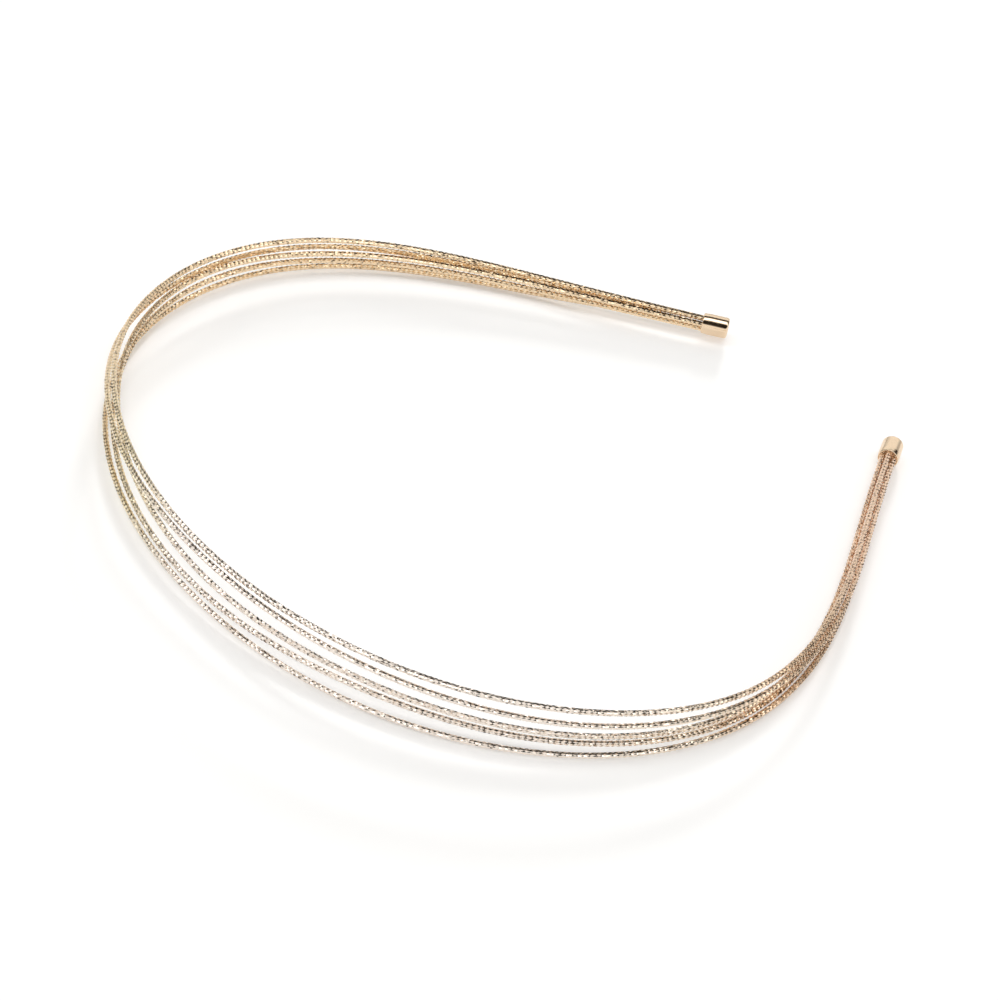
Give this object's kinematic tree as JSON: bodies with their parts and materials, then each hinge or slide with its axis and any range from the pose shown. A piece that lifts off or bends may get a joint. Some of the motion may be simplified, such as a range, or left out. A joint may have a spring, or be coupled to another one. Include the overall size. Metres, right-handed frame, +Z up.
{
  "type": "wire headband",
  "caption": "Open headband arch of springy wires that fan out over the crown and meet in small round end caps at the tips.",
  "frame": {"origin": "under the middle of the headband's box, on the surface that it lies on", "axes": "+X across the arch from the left tip's side to the right tip's side, +Y from the crown towards the open tips, +Z up from the surface"},
  "size_m": [0.1432, 0.1342, 0.0118],
  "materials": {
    "wire": "diamond-cut, pale champagne gold plate",
    "cap": "polished champagne gold plate"
  },
  "bodies": {
    "root": {"strand_1": "wire", "strand_2": "wire", "strand_3": "wire", "strand_4": "wire", "strand_5": "wire", "end_cap_left": "cap", "end_cap_right": "cap"}
  },
  "joints": []
}
